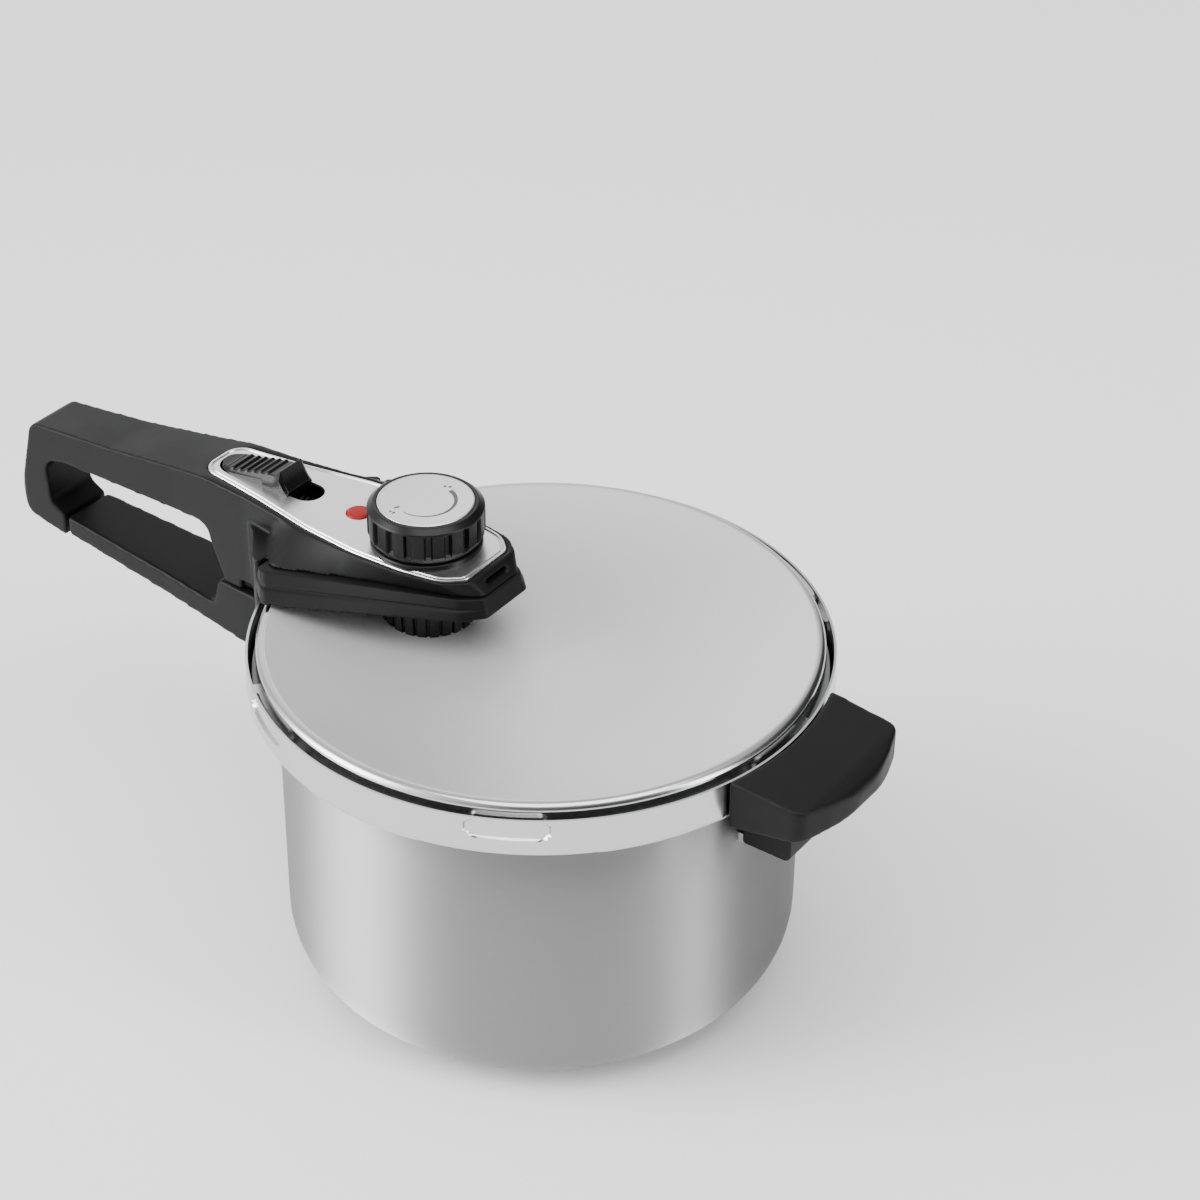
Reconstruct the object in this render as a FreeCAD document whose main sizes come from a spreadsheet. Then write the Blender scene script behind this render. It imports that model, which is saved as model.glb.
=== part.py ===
"""Stovetop pressure cooker: 22 cm pot, bayonet lid with a locking long handle, and its valves.

Frame: millimetres, +Z up, origin at the middle of the pot's underside. The long handles point
along -X and the helper handle along +X. The lid is closed and locked.
"""
import FreeCAD, Part
import Sketcher
import math
import os

DOC = FreeCAD.newDocument("pressure_cooker")
SHEET = DOC.addObject("Spreadsheet::Sheet", "Sizes")


class Size:
    """A length that carries its value and the spreadsheet expression that it comes from."""

    def __init__(self, value, text):
        self.value, self.text = value, text

    def _join(self, other, sign, flip=False):
        other = size(other)
        left, right = (other, self) if flip else (self, other)
        value = {
            "+": lambda a, b: a + b,
            "-": lambda a, b: a - b,
            "*": lambda a, b: a * b,
            "/": lambda a, b: a / b,
        }[sign](left.value, right.value)
        return Size(value, f"({left.text} {sign} {right.text})")

    def __add__(self, other):
        return self._join(other, "+")

    def __radd__(self, other):
        return self._join(other, "+", flip=True)

    def __sub__(self, other):
        return self._join(other, "-")

    def __rsub__(self, other):
        return self._join(other, "-", flip=True)

    def __mul__(self, other):
        return self._join(other, "*")

    __rmul__ = __mul__

    def __truediv__(self, other):
        return self._join(other, "/")

    def __neg__(self):
        return 0 - self

    def __float__(self):
        return float(self.value)


def size(item):
    """Returns the item as a Size; a plain number becomes its own text."""
    return item if isinstance(item, Size) else Size(float(item), f"{float(item):g}")


DIMENSIONS = {
    # the pot
    "pot_r": 111.0,
    "pot_wall": 1.0,
    "pot_corner_r": 25.0,
    "base_thick": 4.0,
    "base_skin": 0.8,
    "wall_top": 136.0,
    "collar_out": 12.3,
    "collar_round_r": 10.0,
    "collar_rise": 22.0,
    # the bayonet
    "lug_count": 6.0,
    "lug_arc": 26.0,
    "tab_arc": 18.0,
    "tab_thick": 3.0,
    "run_gap": 0.4,
    # the lid
    "rim_gap": 4.1,
    "lid_rise": 4.2,
    "lid_sheet": 1.2,
    "lid_edge_r": 3.2,
    "dish_depth": 14.0,
    "dish_flat_r": 45.0,
    "ring_width": 6.7,
    "ring_drop": 7.2,
    # the lid's handle
    "head_rise": 12.0,
    "seam_rise": 9.8,
    "head_lift": 1.0,
    "loop_length": 28.7,
    "grip_width": 27.0,
    "head_width": 54.6,
    "shell_wall": 3.0,
    "handle_gap": 1.2,
    # valves, knob and slider
    "valve_inset": 59.2,
    "indicator_step": 37.0,
    "knob_r": 25.0,
    "knob_height": 17.0,
    "knob_lift": 3.0,
    "nut_r": 22.0,
    "slider_step": 74.5,
    "slider_length": 41.5,
    "slider_width": 17.0,
    "fit_gap": 0.3,
    # the pot's handles
    "pot_grip_length": 151.3,
    "helper_length": 49.0,
    "helper_width": 76.0,
    "helper_rise": 2.0,
    "screw_r": 2.0,
}

for row, (name, value) in enumerate(DIMENSIONS.items(), start=1):
    SHEET.set(f"A{row}", name)
    SHEET.set(f"B{row}", f"{value:g}")
    SHEET.setAlias(f"B{row}", name)
DOC.recompute()


class Sizes:
    """Reads a named size from the spreadsheet, as a Size."""

    # sizes that follow from the driving ones, as (first size, sign, second size)
    FOLLOW = {
        "base_r": ("pot_r", -1, "pot_corner_r"),
        "collar_r": ("pot_r", 1, "collar_out"),
        "collar_top": ("wall_top", 1, "collar_rise"),
        "lid_r": ("collar_r", -1, "rim_gap"),
        "lid_top": ("collar_top", 1, "lid_rise"),
        "ring_inner_r": ("lid_r", -1, "ring_width"),
        "ring_top": ("collar_top", -1, "ring_drop"),
        "head_seam": ("lid_top", 1, "seam_rise"),
        "plate_top": ("head_seam", 1, "head_rise"),
        "valve_x": ("lid_r", -1, "valve_inset"),
        "indicator_x": ("valve_x", 1, "indicator_step"),
        "slider_end": ("indicator_x", 1, "slider_step"),
        "knob_base_z": ("plate_top", 1, "knob_lift"),
        "knob_top": ("knob_base_z", 1, "knob_height"),
        "pot_grip_end": ("pot_r", 1, "pot_grip_length"),
        "grip_end": ("pot_grip_end", 1, "loop_length"),
        "helper_reach": ("pot_r", 1, "helper_length"),
        "helper_top": ("collar_top", 1, "helper_rise"),
    }

    def __getattr__(self, name):
        if name in self.FOLLOW:
            first, sign, second = self.FOLLOW[name]
            return getattr(self, first) + sign * getattr(self, second)
        return Size(float(SHEET.get(name)), f"Sizes.{name}")


S = Sizes()


def up(height):
    """A height on the handles as drawn for a 136 mm wall; it moves with the wall's top."""
    return S.wall_top + (height - 136)


def out(reach):
    """A distance from the axis as drawn for a pot of 111 mm radius; it moves with the pot's wall."""
    return S.pot_r + (reach - 111)


NODES = []


def plane(body, role):
    return next(o for o in body.Origin.OriginFeatures if o.Role == role)


def keep(item, label):
    """Marks an object as a finished sub-part."""
    item.Label = label
    NODES.append(item)
    return item


def outline(body, role, points):
    """Sketches a closed outline; a point is (u, v), or (u, v, radius, cu, cv) where an arc ends."""
    sketch = body.newObject("Sketcher::SketchObject", "Outline")
    sketch.AttachmentSupport = [(plane(body, role), "")]
    sketch.MapMode = "FlatFace"
    spots = [FreeCAD.Vector(float(size(p[0])), float(size(p[1])), 0) for p in points]
    curves = []
    for index, spot in enumerate(spots):
        before, point = spots[index - 1], points[index]
        if len(point) == 2:
            curves.append((sketch.addGeometry(Part.LineSegment(before, spot)), 1, 2))
            continue
        centre = FreeCAD.Vector(float(size(point[3])), float(size(point[4])), 0)
        start = math.atan2(before.y - centre.y, before.x - centre.x)
        end = math.atan2(spot.y - centre.y, spot.x - centre.x)
        forward = (end - start) % (2 * math.pi) < math.pi
        circle = Part.Circle(centre, FreeCAD.Vector(0, 0, 1), float(size(point[2])))
        ends = (start, end) if forward else (end, start)
        arc = sketch.addGeometry(Part.ArcOfCircle(circle, *ends))
        curves.append((arc, 1, 2) if forward else (arc, 2, 1))
    for index, (curve, first, last) in enumerate(curves):
        follower, start, _ = curves[(index + 1) % len(curves)]
        sketch.addConstraint(Sketcher.Constraint("Coincident", curve, last, follower, start))
        for way, value in zip(("DistanceX", "DistanceY"), points[index][:2]):
            value = size(value)
            spot = Sketcher.Constraint(way, -1, 1, curve, last, float(value))
            number = sketch.addConstraint(spot)
            if "Sizes" in value.text:
                sketch.setExpression(f"Constraints[{number}]", value.text)
        if len(points[index]) > 2:
            bend = size(points[index][2])
            number = sketch.addConstraint(Sketcher.Constraint("Radius", curve, float(bend)))
            if "Sizes" in bend.text:
                sketch.setExpression(f"Constraints[{number}]", bend.text)
    return sketch


def turned(label, points, finished=True):
    """Revolves an outline of (radius, height) points about the Z axis."""
    body = DOC.addObject("PartDesign::Body", "Turned")
    sketch = outline(body, "XZ_Plane", points)
    turn = body.newObject("PartDesign::Revolution", "Turn")
    turn.Profile = sketch
    turn.ReferenceAxis = (sketch, ["V_Axis"])
    turn.Angle = 360
    if finished:
        keep(body, label)
    return body


def around(body, points, arc, count):
    """Adds a turned segment of the given arc, centred on +X, and repeats it round the axis."""
    sketch = outline(body, "XZ_Plane", points)
    turn = body.newObject("PartDesign::Revolution", "Segment")
    turn.Profile = sketch
    turn.ReferenceAxis = (sketch, ["V_Axis"])
    turn.Midplane = True
    turn.setExpression("Angle", arc.text)
    DOC.recompute()
    pattern = body.newObject("PartDesign::PolarPattern", "Segments")
    pattern.Originals = [turn]
    pattern.Axis = (plane(body, "Z_Axis"), [""])
    pattern.Angle = 360
    pattern.setExpression("Occurrences", count.text)
    body.Tip = pattern


def post(radius, low, high, x=0.0, y=0.0):
    """A plain vertical cylinder between two heights."""
    item = DOC.addObject("Part::Cylinder", "Post")
    item.setExpression("Radius", size(radius).text)
    item.setExpression("Height", (size(high) - low).text)
    for axis, value in zip("xyz", (x, y, low)):
        item.setExpression(f"Placement.Base.{axis}", size(value).text)
    return item


def block(x0, x1, y0, y1, z0, z1):
    """A plain box between two corners."""
    item = DOC.addObject("Part::Box", "Block")
    for name, low, high, axis in (("Length", x0, x1, "x"), ("Width", y0, y1, "y"), ("Height", z0, z1, "z")):
        item.setExpression(name, (size(high) - low).text)
        item.setExpression(f"Placement.Base.{axis}", size(low).text)
    return item


def cone(low_r, high_r, low, high, x=0.0, y=0.0):
    item = DOC.addObject("Part::Cone", "Taper")
    item.setExpression("Radius1", size(low_r).text)
    item.setExpression("Radius2", size(high_r).text)
    item.setExpression("Height", (size(high) - low).text)
    for axis, value in zip("xyz", (x, y, low)):
        item.setExpression(f"Placement.Base.{axis}", size(value).text)
    return item


def fuse(*items):
    joined = DOC.addObject("Part::MultiFuse", "Joined")
    joined.Shapes = list(items)
    return joined


def cut(base, *tools):
    result = base
    for tool in tools:
        step = DOC.addObject("Part::Cut", "Trimmed")
        step.Base, step.Tool = result, tool
        result = step
    return result


def common(one, two):
    shared = DOC.addObject("Part::Common", "Shared")
    shared.Base, shared.Tool = one, two
    return shared


def rounded_wire(points, place):
    """A closed wire through (u, v, radius) corners, each rounded by a tangent arc."""
    edges, count = [], len(points)
    spots = [(float(size(u)), float(size(v))) for u, v, _ in points]
    ends = []
    for index, (u, v) in enumerate(spots):
        radius = float(points[index][2])
        (pu, pv), (nu, nv) = spots[index - 1], spots[(index + 1) % count]
        back, ahead = math.hypot(pu - u, pv - v), math.hypot(nu - u, nv - v)
        b, a = ((pu - u) / back, (pv - v) / back), ((nu - u) / ahead, (nv - v) / ahead)
        half = math.acos(max(-1.0, min(1.0, b[0] * a[0] + b[1] * a[1]))) / 2
        reach = min(radius / math.tan(half), 0.49 * back, 0.49 * ahead)
        middle = ((b[0] + a[0]), (b[1] + a[1]))
        length = math.hypot(*middle)
        away = reach / math.cos(half) - reach * math.tan(half)
        top = (u + middle[0] / length * away, v + middle[1] / length * away)
        ends.append(((u + b[0] * reach, v + b[1] * reach), top, (u + a[0] * reach, v + a[1] * reach)))
    for index, (start, top, end) in enumerate(ends):
        edges.append(Part.Arc(place(*start), place(*top), place(*end)).toShape())
        after = ends[(index + 1) % count][0]
        if math.dist(end, after) > 1e-6:
            edges.append(Part.LineSegment(place(*end), place(*after)).toShape())
    return Part.Wire(edges)


def moulded(shape, name="Moulded"):
    """Adds a ready shape to the document."""
    item = DOC.addObject("Part::Feature", name)
    item.Shape = shape
    return item


def side_prism(points, half_width):
    """A side view of (x, z, radius) corners, extruded across Y."""
    half = float(size(half_width))
    wire = rounded_wire(points, lambda x, z: FreeCAD.Vector(x, -half, z))
    return moulded(Part.Face(wire).extrude(FreeCAD.Vector(0, 2 * half, 0)))


def plan_prism(half_outline, low, high):
    """A plan of (x, half width, radius) corners, mirrored about the XZ plane and extruded up."""
    low, high = float(size(low)), float(size(high))
    mirrored = [(x, -y, r) for x, y, r in reversed(half_outline)]
    wire = rounded_wire(list(half_outline) + mirrored, lambda x, y: FreeCAD.Vector(x, y, low))
    return moulded(Part.Face(wire).extrude(FreeCAD.Vector(0, 0, high - low)))


# ---------------------------------------------------------------- the pot


def pot_shell():
    """Drawn steel pot with a flared collar; six pressed-in tabs on it hold the lid down."""
    inner_r, low = S.pot_r - S.pot_wall, S.base_thick
    step_r = S.collar_r - S.collar_round_r
    step_z = S.wall_top + 2
    turn_z = step_z + S.collar_round_r
    inside = S.collar_round_r - S.pot_wall
    corner_in = S.pot_corner_r - S.pot_wall
    corner = (S.pot_r - S.pot_corner_r, low + S.pot_corner_r)
    body = turned("pot_shell", [
        (0, low),
        (S.pot_r - S.pot_corner_r, low),
        (S.pot_r, low + S.pot_corner_r, S.pot_corner_r, *corner),
        (S.pot_r, S.wall_top),
        (step_r, step_z),
        (S.collar_r, turn_z, S.collar_round_r, step_r, turn_z),
        (S.collar_r, S.collar_top),
        (S.collar_r - S.pot_wall, S.collar_top),
        (S.collar_r - S.pot_wall, turn_z),
        (step_r, step_z + S.pot_wall, inside, step_r, turn_z),
        (inner_r, S.wall_top + S.pot_wall),
        (inner_r, low + S.pot_corner_r),
        (S.pot_r - S.pot_corner_r, low + S.pot_wall, corner_in, *corner),
        (0, low + S.pot_wall),
    ])
    tab_low, tab_in = S.ring_top + S.run_gap, S.lid_r + S.run_gap
    tab_out = S.collar_r - S.pot_wall / 2
    around(body, [
        (tab_out, tab_low),
        (tab_out, tab_low + S.tab_thick),
        (tab_in, tab_low + S.tab_thick),
        (tab_in, tab_low),
    ], S.tab_arc, S.lug_count)


def pot_base():
    """Encapsulated base: an aluminium heat spreader inside a steel pan."""
    core_r = S.base_r - S.base_skin
    turned("base_core", [
        (0, S.base_skin),
        (core_r, S.base_skin),
        (core_r, S.base_thick),
        (0, S.base_thick),
    ])
    edge = S.base_skin * 2
    turned("base_pan", [
        (0, 0),
        (S.base_r - edge, 0),
        (S.base_r, edge, edge, S.base_r - edge, edge),
        (S.base_r, S.base_thick),
        (core_r, S.base_thick),
        (core_r, S.base_skin),
        (0, S.base_skin),
    ])


def pot_handle():
    """Lower long handle: a bar with a root block, a post for the lock, and a bracket slot."""
    end = -S.pot_grip_end
    bar = side_prism([
        (end, up(117.5), 2), (end, up(126.5), 1.5), (-out(168), up(119), 4), (-out(164), up(133.3), 2),
        (-out(112), up(133.3), 2), (-out(112), up(101), 3), (-out(147), up(105.5), 8),
    ], 40)
    plan = plan_prism([
        (end, S.grip_width / 2, 2), (-out(200), 16.5, 80), (-out(150), 20.5, 60), (-out(112), 22, 1),
    ], 90, up(160))
    post_block = block(-out(154), -out(144), -8, 8, up(130), up(149.5))
    hook_hole = block(-out(149), -out(143), -4, 4, up(140), up(146))
    wall_space = post(S.pot_r + S.fit_gap, 90, up(137))
    slot = block(-out(141), -out(100), -10.2, 10.2, up(115.8), up(119.2))
    screw_hole = post(S.screw_r + 0.1, 90, up(127), -out(131))
    screw_seat = post(4, 90, up(107), -out(131))
    hollow = block(-out(250), -out(180), -9, 9, up(100), up(116))
    shape = cut(
        fuse(common(bar, plan), post_block), hook_hole, wall_space, slot, screw_hole, screw_seat, hollow,
    )
    keep(shape, "pot_handle")
    tongue = cut(
        block(-out(140), -out(104), -10, 10, up(116), up(119)),
        post(S.pot_r, up(100), up(130)),
        post(S.screw_r + 0.1, 90, up(130), -out(131)),
    )
    keep(tongue, "pot_bracket")
    screw = fuse(
        post(S.screw_r, up(107), up(126), -out(131)), cone(3.6, 3.6, up(104.6), up(107), -out(131)),
    )
    keep(screw, "pot_handle_screw")


def helper_handle():
    """Short helper handle: a curved block on a steel angle, with a block below it."""
    reach, half, top = S.helper_reach, S.helper_width / 2, S.helper_top
    side = side_prism([
        (out(100), top, 1), (out(118), top, 6), (reach - 8, top - 3, 12), (reach, top - 5, 4),
        (reach - 0.5, top - 16, 3), (out(118), top - 23, 2), (out(100), top - 23, 1),
    ], 60)
    plan = plan_prism([
        (out(104), half - 1, 1), (out(118), half, 6), (reach - 9, half - 1, 6),
        (reach - 3.5, half - 16, 40),
        (reach, 8, 60),
    ], up(100), up(180))
    collar_space = post(S.collar_r + 1, up(100), up(200))
    screw_hole = post(S.screw_r + 0.1, up(100), up(150), out(127))
    keep(cut(common(side, plan), collar_space, screw_hole), "helper_handle")
    angle = fuse(
        block(out(112.6), out(114.8), -15, 15, up(112), up(134.8)),
        block(out(104), out(114.8), -15, 15, up(112), up(116)),
        block(out(112.6), out(141), -15, 15, up(134.8), up(136.8)),
    )
    screw_way = post(S.screw_r + 0.1, up(100), up(150), out(127))
    keep(cut(angle, post(S.pot_r, up(100), up(130)), screw_way), "helper_bracket")
    lower = side_prism([
        (out(115), up(116), 1.5), (out(137.5), up(116), 3),
        (out(137.5), up(134.6), 1), (out(115), up(134.6), 1),
    ], 20)
    drilled = cut(lower, screw_way, post(4, up(100), up(121), out(127)))
    keep(drilled, "helper_lower_block")
    screw = fuse(post(S.screw_r, up(121), up(149), out(127)), post(3.6, up(118.6), up(121), out(127)))
    keep(screw, "helper_screw")


# ---------------------------------------------------------------- the lid


def dish_curve():
    """The dish's bend radius and the two centres where it meets the lid's rolled edge."""
    out, edge = S.lid_r - S.lid_edge_r, S.lid_edge_r
    span, rise = out - S.dish_flat_r, S.dish_depth - edge
    bend = (span * span + rise * rise - edge * edge) / (2 * rise + 2 * edge)
    low = S.lid_top - S.dish_depth
    sine, cosine = span / (bend + edge), (bend - rise) / (bend + edge)
    return bend, (S.dish_flat_r, low + bend), (out, S.lid_top - edge), sine, cosine


def lid_plate():
    """Pressed lid: a rim with a rolled edge, and a middle dished down below it."""
    top, low, thick, edge = S.lid_top, S.lid_top - S.dish_depth, S.lid_sheet, S.lid_edge_r
    bend, dish_centre, edge_centre, sine, cosine = dish_curve()
    under = bend + thick
    plate = turned("lid_blank", [
        (0, low),
        (0, low - thick),
        (S.dish_flat_r, low - thick),
        (dish_centre[0] + under * sine, dish_centre[1] - under * cosine, under, *dish_centre),
        (S.lid_r - thick, top - edge, edge - thick, *edge_centre),
        (S.lid_r - thick, S.ring_top),
        (S.lid_r, S.ring_top),
        (S.lid_r, top - edge),
        (edge_centre[0] - edge * sine, edge_centre[1] + edge * cosine, edge, *edge_centre),
        (S.dish_flat_r, low, bend, *dish_centre),
    ], finished=False)
    holes = [
        post(6.1, up(130), up(175), -S.valve_x),
        post(4.6, up(130), up(175), -S.indicator_x),
        post(S.screw_r + 0.2, up(130), up(175), -S.valve_x, 14),
        post(S.screw_r + 0.2, up(130), up(175), -S.valve_x, -14),
    ]
    return keep(cut(plate, *holes), "lid_plate")


def lock_ring():
    """Ring under the lid's rim, with lugs that pass under the pot's tabs."""
    low = S.ring_top - S.lid_sheet
    ring = turned("lock_ring", [
        (S.ring_inner_r, low),
        (S.lid_r, low),
        (S.lid_r, S.ring_top),
        (S.ring_inner_r, S.ring_top),
    ])
    lug_out = S.collar_r - S.pot_wall - S.run_gap
    around(ring, [
        (S.lid_r - 1, low),
        (lug_out, low),
        (lug_out, S.ring_top),
        (S.lid_r - 1, S.ring_top),
    ], S.lug_arc, S.lug_count)


def gasket():
    """Silicone sealing ring between the lock ring and the pot's shoulder."""
    step_r = S.collar_r - S.collar_round_r
    turn_z = S.wall_top + 2 + S.collar_round_r
    reach = S.collar_round_r - S.pot_wall - S.fit_gap
    top = S.ring_top - S.lid_sheet
    out_r = step_r + reach * round(math.cos(math.radians(30)), 6)
    out_z = turn_z - reach / 2
    turned("gasket", [
        (step_r, turn_z - reach),
        (out_r, out_z, reach, step_r, turn_z),
        (out_r, top),
        (S.ring_inner_r, top),
        (S.ring_inner_r, top - 2.5),
        (step_r + 3.5, top - 2.5),
        (step_r + 3.5, top - 5),
        (S.ring_inner_r, top - 5),
        (S.ring_inner_r, turn_z - reach),
    ])


# half plans of the head as (x, half width, corner radius): at the trim plate, at the seam, and the
# wide flange below the seam, at its top and its bottom edge, which spreads towards the lid's rim
HEAD_TOP = [
    (-25, 15.8, 6), (-33.8, 23.2, 12), (-55, 26.5, 30), (-82, 27.3, 60), (-110, 25, 40), (-128, 22, 10),
]
HEAD_FOOT = [
    (-20.5, 12.5, 5), (-30, 17.5, 10), (-60, 25.5, 60), (-82, 32, 60), (-112.5, 43, 5), (-128, 25, 10),
]
FLANGE_TOP = [
    (-20, 13.5, 5), (-29, 19, 10), (-58, 28.3, 60), (-96, 40, 60), (-113, 45.6, 4), (-117.2, 44, 2),
]
FLANGE_LOW = [
    (-17.5, 13.8, 5), (-26, 22.5, 10), (-52, 34, 60), (-90, 50.5, 60), (-105, 56.5, 4), (-117.2, 46, 3),
]
CAVITY = [
    (-30, 8, 4), (-40, 12.5, 8), (-55, 16.5, 30), (-82, 23.5, 60), (-108, 21.5, 30), (-116, 18, 6),
]
GRIP_PLAN = [(-100, 21.5, 1), (-118, 24, 60), (-145, 20, 60), (-190, 16.5, 100), (-240, 14.3, 100)]
HEAD_TILT = 0.05
ROOT_PLAN = [(-118.2, 43.6, 2), (-124, 39.5, 5), (-135, 26, 14), (-150, 15, 4)]


def scaled(rows, inset=0.0):
    """Head plan rows, scaled to the head's width and set in by the given amount."""
    scale = S.head_width / 54.6
    first = (-out(-rows[0][0]) - inset, rows[0][1] * scale - inset, rows[0][2])
    return [first] + [(-out(-x), y * scale - inset, r) for x, y, r in rows[1:]]


def head_loft(low_rows, low, high_rows, high, high_tilt):
    """A loft between two head plans; each lies in a plane that rises towards the head's tip."""
    wires, rim = [], float(out(118))
    for rows, level, tilt in ((low_rows, low, HEAD_TILT), (high_rows, high, high_tilt)):
        level, rows = float(size(level)), scaled(rows)
        outline = rows + [(x, -y, r) for x, y, r in reversed(rows)]
        wires.append(rounded_wire(outline, lambda x, y: FreeCAD.Vector(x, y, level + tilt * (x + rim))))
    return moulded(Part.makeLoft(wires, True, True))


def head_flange():
    """The wide flange below the head's seam."""
    return head_loft(FLANGE_LOW, S.lid_top + S.head_lift, FLANGE_TOP, S.head_seam - 0.2, HEAD_TILT)


def lid_handle():
    """Upper long handle and head shell in one moulding, open at the end as a finger loop."""
    top, seam = S.plate_top, S.head_seam
    far, lip = -S.grip_end, -(S.pot_grip_end + S.handle_gap)
    side = side_prism([
        (-out(101), seam + 1, 1), (-out(101), top, 1), (-out(170), top, 60), (-out(230), top - 8.5, 90),
        (far + 10, top - 13.5, 7), (far, up(131), 14), (far + 4, up(120), 6), (lip, up(116), 1),
        (lip, up(126.5), 1), (-out(271.5), up(131), 6), (-out(273), up(153), 7),
        (-out(262), up(156), 20), (-out(171), up(160), 7), (-out(160.5), up(134), 1),
        (-out(118.2), up(134), 1), (-out(118.2), seam + 1, 1),
    ], 60)
    plan = plan_prism(scaled(GRIP_PLAN) + [(far, S.grip_width / 2 - 0.5, 4)], up(100), up(220))
    root = plan_prism(scaled(ROOT_PLAN), up(134), seam + 1)
    rim_space = post(S.collar_r + 1, up(100), S.lid_top + S.head_lift)
    # the lock's post enters and leaves this pocket through the handle's far side
    post_pocket = block(-out(155), -out(126.5), -9, 60, up(130), up(152))
    stem_slot = block(-out(141), -out(127), -4.5, 4.5, up(150), up(176))
    channel = block(-out(174), -out(118), -10.5, 10.5, up(174), up(190))
    near_notch = block(-out(150), -out(141), -40, -17, up(130), up(139))
    cavity = plan_prism(scaled(CAVITY), seam - 5, top - 2.5)
    plate_seat = trim_outline(S.fit_gap, top - 1.2, top + 5)
    valve_hole = post(10, up(160), up(200), -S.valve_x)
    pin_hole = post(5.8, up(160), up(200), -S.indicator_x)
    vent = block(-27, -15, -7, 7, top - 4.8, top - 2.4)
    post_sweep = common(post(out(157), up(130), up(152)), block(-out(160), -60, 8, 90, up(130), up(152)))
    spring_hole = block(-out(119), -out(106), -3.5, 3.5, up(174.5), up(181.5))
    shape = cut(
        fuse(common(side, plan), head_loft(HEAD_FOOT, seam, HEAD_TOP, top, 0), root),
        rim_space, post_pocket, post_sweep, stem_slot, channel, near_notch, cavity, plate_seat, valve_hole,
        pin_hole, vent, spring_hole,
    )
    keep(shape, "lid_handle")


def trim_outline(grow, low, high):
    """The steel trim plate's outline, larger all round by the given amount."""
    scale = S.head_width / 54.6
    rows = [
        (-28, 14, 6), (-36, 21.5, 16), (-55, 24.8, 30), (-80, 25.8, 60), (-108, 23.2, 60),
        (-140, 17, 60), (-160, 14, 30), (-176, 12, 11),
    ]
    grown = [(-out(-x), y * scale + grow, r) for x, y, r in rows]
    grown[0] = (grown[0][0] + size(grow), grown[0][1], 4)
    grown[-1] = (grown[-1][0] - size(grow), grown[-1][1], 11)
    return plan_prism(grown, low, high)


def dish_plug():
    """The space below the lid's dished middle, which trims what stands on the lid."""
    bend, centre, _, sine, cosine = dish_curve()
    low = S.lid_top - S.dish_depth
    return turned("dish_plug", [
        (0, low - 10),
        (centre[0] + bend * sine, low - 10),
        (centre[0] + bend * sine, centre[1] - bend * cosine),
        (S.dish_flat_r, low, bend, *centre),
        (0, low),
    ], finished=False)


def head_parts():
    """Lower head shell, trim plate, knob base and the knurled nut between head and lid."""
    seam, low = S.head_seam, S.lid_top + S.head_lift
    hollow = plan_prism(scaled(CAVITY), seam - 1.5, seam + 8)
    holes = [
        post(6.1, up(145), up(180), -S.valve_x),
        post(5, up(145), up(180), -S.indicator_x),
        post(S.screw_r + 0.1, up(145), up(180), -S.valve_x, 14),
        post(S.screw_r + 0.1, up(145), up(180), -S.valve_x, -14),
    ]
    bosses = fuse(
        post(4.2, seam - 3, seam + 2, -S.valve_x, 14),
        post(4.2, seam - 3, seam + 2, -S.valve_x, -14),
    )
    keep(cut(fuse(cut(head_flange(), hollow), bosses), *holes), "head_lower_shell")

    plate = trim_outline(0, S.plate_top - 1.2, S.plate_top)
    slot = block(-out(173.5), -out(117.5), -9.4, 9.4, up(170), up(200))
    plate_holes = [post(10, up(170), up(200), -S.valve_x), post(5.8, up(170), up(200), -S.indicator_x)]
    keep(cut(plate, slot, *plate_holes), "trim_plate")

    base = cut(
        fuse(
            post(24, S.plate_top, S.plate_top + 2.6, -S.valve_x),
            post(9.8, up(180), S.plate_top, -S.valve_x),
        ),
        post(8, up(170), up(200), -S.valve_x),
    )
    keep(base, "knob_base")

    dish = S.lid_top - S.dish_depth
    nut = cone(S.nut_r - 1.5, S.nut_r, dish, low + 4, -S.valve_x)
    bores = [
        post(6.1, up(140), up(170), -S.valve_x),
        post(S.screw_r + 0.2, up(140), up(170), -S.valve_x, 14),
        post(S.screw_r + 0.2, up(140), up(170), -S.valve_x, -14),
    ]
    ribs = []
    for index in range(24):
        angle = 2 * math.pi * index / 24
        rib_x = -S.valve_x + S.nut_r * round(math.cos(angle), 6)
        ribs.append(post(0.9, up(140), up(175), rib_x, S.nut_r * round(math.sin(angle), 6)))
    keep(cut(nut, fuse(*ribs), dish_plug(), head_flange(), *bores), "support_nut")


def head_screws():
    """Two screws from under the lid, through the support nut, into the head."""
    under = S.lid_top - S.dish_depth - S.lid_sheet
    screws = []
    for side in (14, -14):
        screws.append(post(S.screw_r, under, up(168), -S.valve_x, side))
        screws.append(post(3.4, under - 2.4, under, -S.valve_x, side))
    keep(fuse(*screws), "head_screws")


def valve():
    """Valve tube with its nut under the lid, the spring-loaded plunger and its spring."""
    under = S.lid_top - S.dish_depth - S.lid_sheet
    bore = post(2.2, up(130), up(200), -S.valve_x)
    tube = fuse(
        post(6, under - 8, S.plate_top + 4, -S.valve_x),
        cone(6, 4, S.plate_top + 4, S.plate_top + 5.5, -S.valve_x),
    )
    keep(cut(tube, bore), "valve_tube")
    keep(cut(post(10, under - 6, under, -S.valve_x), post(6.02, up(130), up(160), -S.valve_x)), "valve_nut")
    plunger = fuse(
        cone(2.8, 6.5, S.plate_top + 5.8, S.plate_top + 8.3, -S.valve_x),
        post(6.5, S.plate_top + 8.3, S.plate_top + 9.3, -S.valve_x),
        post(2.5, S.plate_top + 9.3, S.plate_top + 11.5, -S.valve_x),
    )
    keep(plunger, "valve_plunger")
    coil("valve_spring", 4.2, 0.5, S.plate_top + 9.8, S.plate_top + 15.4, 4, -S.valve_x)


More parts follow.
